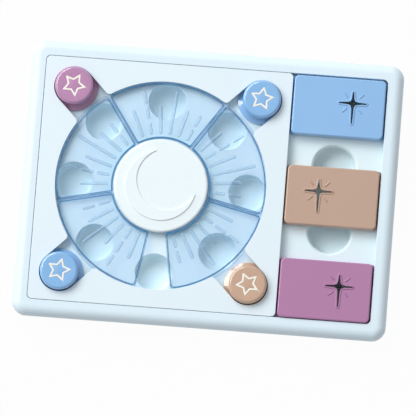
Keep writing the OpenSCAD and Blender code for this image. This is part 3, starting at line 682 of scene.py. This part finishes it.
# copies of a unit round a circle, or in a block of columns and rows
def copiesShape():
    net, given = newShape("copiesShape", {
        "Unit": "object", "Count": int, "Radius": float, "Columns": int, "Rows": int,
        "Width": float, "Depth": float, "Middle": "vector", "Finish": "finish"})
    unit = net.add("GeometryNodeObjectInfo", sockets={"Object": given["Unit"]})["Geometry"]
    index = net.add("GeometryNodeInputIndex")
    turn = index * (2 * math.pi) / given["Count"]
    column = index.maths("MODULO", index, given["Columns"])
    row = ((index + slack) / given["Columns"]).floor()
    x = given["Radius"] * turn.cos() + (column - (given["Columns"] - 1) * 0.5) * given["Width"]
    y = given["Radius"] * turn.sin() + (row - (given["Rows"] - 1) * 0.5) * given["Depth"]
    points = net.add("GeometryNodePoints", sockets={
        "Count": given["Count"], "Position": vector(net, x, y, 0)})
    copies = net.add("GeometryNodeInstanceOnPoints", sockets={"Points": points, "Instance": unit})
    return closeShape(net, moved(net, copies, given["Middle"]), given["Finish"])


copiesTree = copiesShape()


def copies(name, unit, finish, slot, node, values):
    filled = {
        "Unit": unit, "Count": 4, "Radius": 0.0, "Columns": 1, "Rows": 1, "Width": 0.0, "Depth": 0.0,
        "Middle": (0, 0, 0), "Finish": finishes[finish]}
    filled.update(values)
    place(smoothed(grown(name, copiesTree, filled)), "tray", slot, node)


# treat wells: cups that hang under the floor, in a ring of eight and a row of four
underFloor = 14.55
well = {
    "radius": 16.0, "lid radius": 18.0, "wall": 2.4, "inside": 4.5, "fillet": 4.0,
    "ring": 74.5, "pitch": 57.0667, "arc steps": 8, "steps": 72,
}


def cup(name, radius):
    low, fillet, wall = well["inside"], well["fillet"], well["wall"]
    outer = fillet + wall / 2
    profile = [(0, low)]
    profile += arcPoints((radius - fillet, low + fillet), fillet, -90, 0, well["arc steps"])
    profile += [(radius, underFloor), (radius + wall, underFloor)]
    profile += arcPoints((radius + wall - outer, low - wall + outer), outer, 0, -90, well["arc steps"])
    profile += [(0, low - wall)]
    return turned(name, profile, well["steps"])


ringCup, lidCup = cup("ringCup", well["radius"]), cup("lidCup", well["lid radius"])
copies("ringWells", ringCup, "floor", "tray", "ring_wells", {
    "Count": 8, "Radius": well["ring"] * mm, "Middle": (ringX * mm, 0, 0)})
copies("lidWells", lidCup, "floor", "tray", "lid_wells", {
    "Rows": 4, "Depth": well["pitch"] * mm, "Middle": (channelX * mm, 0, 0)})

# rubber pads with a turned groove, one near each corner
pads = {
    "profile": [(0, 0.35), (4.2, 0.35), (4.5, 0), (7.5, 0), (7.9, 0.15), (8, 0.5), (8, 1.5), (0, 1.5)],
    "steps": 48, "width": 290, "depth": 210,
}
pad = turned("padUnit", pads["profile"], pads["steps"])
copies("rubberPads", pad, "pad", "pad", "rubber_pads", {
    "Columns": 2, "Rows": 2, "Width": pads["width"] * mm, "Depth": pads["depth"] * mm})
print("wells and pads placed")


# screws: a pan head with a cross recess on a shank, mm; they stand on a circle, one by one from a start,
# or in pairs that lie so many degrees to both sides of each quarter
screw = {
    "Shank": 1.25, "Head": 3.0, "Taper": 0.6, "Head height": 1.8, "Recess": 3.0, "Cross": 0.8,
    "Deep": 0.9, "Overlap": 0.1,
}
screwSides, screwSpin = 32, 3  # sides of the shank, and how fast the recess turns from screw to screw
panelScrews = {"Length": 7.6, "Count": 8, "Radius": 100.7, "Start": 0, "Pair": 25}
capScrews = {"Length": 8.2, "Count": 3, "Radius": 20, "Start": 90, "Pair": 0}


def screwShape():
    inputs = {title: float for title in list(screw) + ["Length", "Radius", "Start", "Pair"]}
    inputs.update({"Count": int, "Middle": "vector", "Finish": "finish"})
    net, given = newShape("screwShape", inputs)
    solid = {"Vertices": screwSides, "Side Segments": 1, "Fill Segments": 1}
    length, tall, wide, narrow = given["Length"], given["Head height"], given["Recess"], given["Cross"]
    shank = net.add("GeometryNodeMeshCylinder", {"fill_type": "NGON"}, {
        **solid, "Radius": given["Shank"], "Depth": length})
    shank = moved(net, shank, vector(net, 0, 0, length * 0.5 - given["Overlap"]))
    bottom = vector(net, 0, 0, -tall)
    head = net.add("GeometryNodeMeshCone", {"fill_type": "NGON"}, {
        **solid, "Radius Top": given["Head"], "Radius Bottom": given["Head"] - given["Taper"], "Depth": tall})
    head = moved(net, head, bottom)
    bars = []
    for width, depth in ((wide, narrow), (narrow, wide)):
        cross = net.add("GeometryNodeMeshCube", sockets={
            "Size": vector(net, width, depth, given["Deep"] * 2)})
        bars.append(moved(net, cross, bottom))
    unit = boolean(net, "UNION", boolean(net, "DIFFERENCE", head, bars), [shank])
    index = net.add("GeometryNodeInputIndex")
    pairs = (index / 2 + slack).floor()
    side = (index - pairs * 2) * 2 - 1
    single = 1 - (given["Pair"] > 0.0)
    turn = given["Start"] + single * index * (2 * math.pi) / given["Count"] + (1 - single) * (
        pairs * (math.pi / 2) + side * given["Pair"])
    spot = vector(net, given["Radius"] * turn.cos(), given["Radius"] * turn.sin(), 0)
    points = net.add("GeometryNodePoints", sockets={"Count": given["Count"], "Position": spot})
    screws = net.add("GeometryNodeInstanceOnPoints", sockets={
        "Points": points, "Instance": unit, "Rotation": vector(net, 0, 0, turn * screwSpin)})
    return closeShape(net, moved(net, screws, given["Middle"]), given["Finish"])


screwTree = screwShape()
headEdge = screw["Cross"] * mm  # the sides of the head's circle are shorter than the recess is wide
screwEdges = [
    (0.3, 2, lambda e: levelAt(e, underFloor - screw["Head height"]) and e.calc_length() < headEdge),
]
for name, node, sizes in (
    ("panelScrews", "panel_screws", panelScrews),
    ("capScrews", "cap_screws", capScrews),
):
    values = {title: size * mm for title, size in screw.items()}
    values.update({
        "Count": sizes["Count"], "Length": sizes["Length"] * mm, "Radius": sizes["Radius"] * mm,
        "Start": math.radians(sizes["Start"]), "Pair": math.radians(sizes["Pair"]),
        "Middle": (ringX * mm, 0, underFloor * mm), "Finish": finishes["steel"]})
    piece = reworked(grown(name, screwTree, values), screwEdges)
    place(piece, "tray", "screw", node)
print("screws driven")

for unit in (ringCup, lidCup, pad):
    bpy.data.objects.remove(unit)


# floor, background and light: the floor is a matt disc that looks almost white to the camera
studio = {
    "radius": 9000, "height": -0.4, "steps": 64, "cloud scale": 3, "white share": 0.97,
    "dark": (0.56, 0.57, 0.58, 1), "light": (0.60, 0.605, 0.61, 1), "sky colour": (0.97, 0.985, 1, 1),
    "sky": 0.45, "key": 348, "key colour": (0.98, 0.99, 1), "key spot": (-3.4, 2.8, 3.8),
    "key width": 6.0, "key depth": 3.2,
}


def groundFinish():
    finish, net = newFinish("paleGround")
    coords = net.add("ShaderNodeTexCoord", out=3)
    cloud = noise(net, coords, studio["cloud scale"], 2)
    matt = net.add("ShaderNodeBsdfDiffuse", sockets={
        "Color": net.blendColour(cloud, studio["dark"], studio["light"])})
    white = net.add("ShaderNodeEmission", sockets={"Color": (1, 1, 1, 1), "Strength": 1.0})
    rays = net.add("ShaderNodeLightPath")
    seen = rays["Is Camera Ray"].maths("MAXIMUM", rays["Is Camera Ray"], rays["Is Glossy Ray"])
    both = net.add("ShaderNodeMixShader", sockets={0: seen * studio["white share"], 1: matt, 2: white})
    net.add("ShaderNodeOutputMaterial", sockets={"Surface": both})
    return finish


ground = turned("ground", [(0, studio["height"]), (studio["radius"], studio["height"])], studio["steps"])
ground.data.materials.append(groundFinish())
if ground.data.polygons[0].normal.z < 0:
    ground.data.flip_normals()

world = bpy.data.worlds.new("studio")
bpy.context.scene.world = world
world.use_nodes = True
world.node_tree.nodes.clear()
net = Net(world.node_tree)
rays = net.add("ShaderNodeLightPath")
seen = rays["Is Camera Ray"].maths("MAXIMUM", rays["Is Camera Ray"], rays["Is Transmission Ray"])
sky = net.add("ShaderNodeBackground", sockets={
    "Color": studio["sky colour"], "Strength": studio["sky"] + seen * (1 - studio["sky"])})
net.add("ShaderNodeOutputWorld", sockets={"Surface": sky})

lamp = bpy.data.lights.new("keyLight", "AREA")
lamp.shape, lamp.size, lamp.size_y = "RECTANGLE", studio["key width"], studio["key depth"]
lamp.energy, lamp.color = studio["key"], studio["key colour"]
softbox = bpy.data.objects.new("keyLight", lamp)
bpy.context.collection.objects.link(softbox)
softbox.location = studio["key spot"]
softbox.rotation_euler = (-Vector(studio["key spot"])).to_track_quat("-Z", "Y").to_euler()

# camera: long lens, ten degrees off the vertical
view = {
    "lens": 660.68, "sensor": 36, "reach": 50, "spot": (0.14879, -1.17111, 6.45124), "rows": (
        (0.996946, 0.077577, -0.009021), (-0.07474, 0.981192, 0.177977), (0.022659, -0.176759, 0.983993)),
}
eye = bpy.data.cameras.new("eye")
eye.lens, eye.sensor_width, eye.clip_end = view["lens"], view["sensor"], view["reach"]
camera = bpy.data.objects.new("camera", eye)
bpy.context.collection.objects.link(camera)
camera.matrix_world = Matrix.Translation(view["spot"]) @ Matrix(view["rows"]).transposed().to_4x4()
bpy.context.scene.camera = camera
bpy.context.scene.view_settings.view_transform = "Standard"
print("light and camera set")
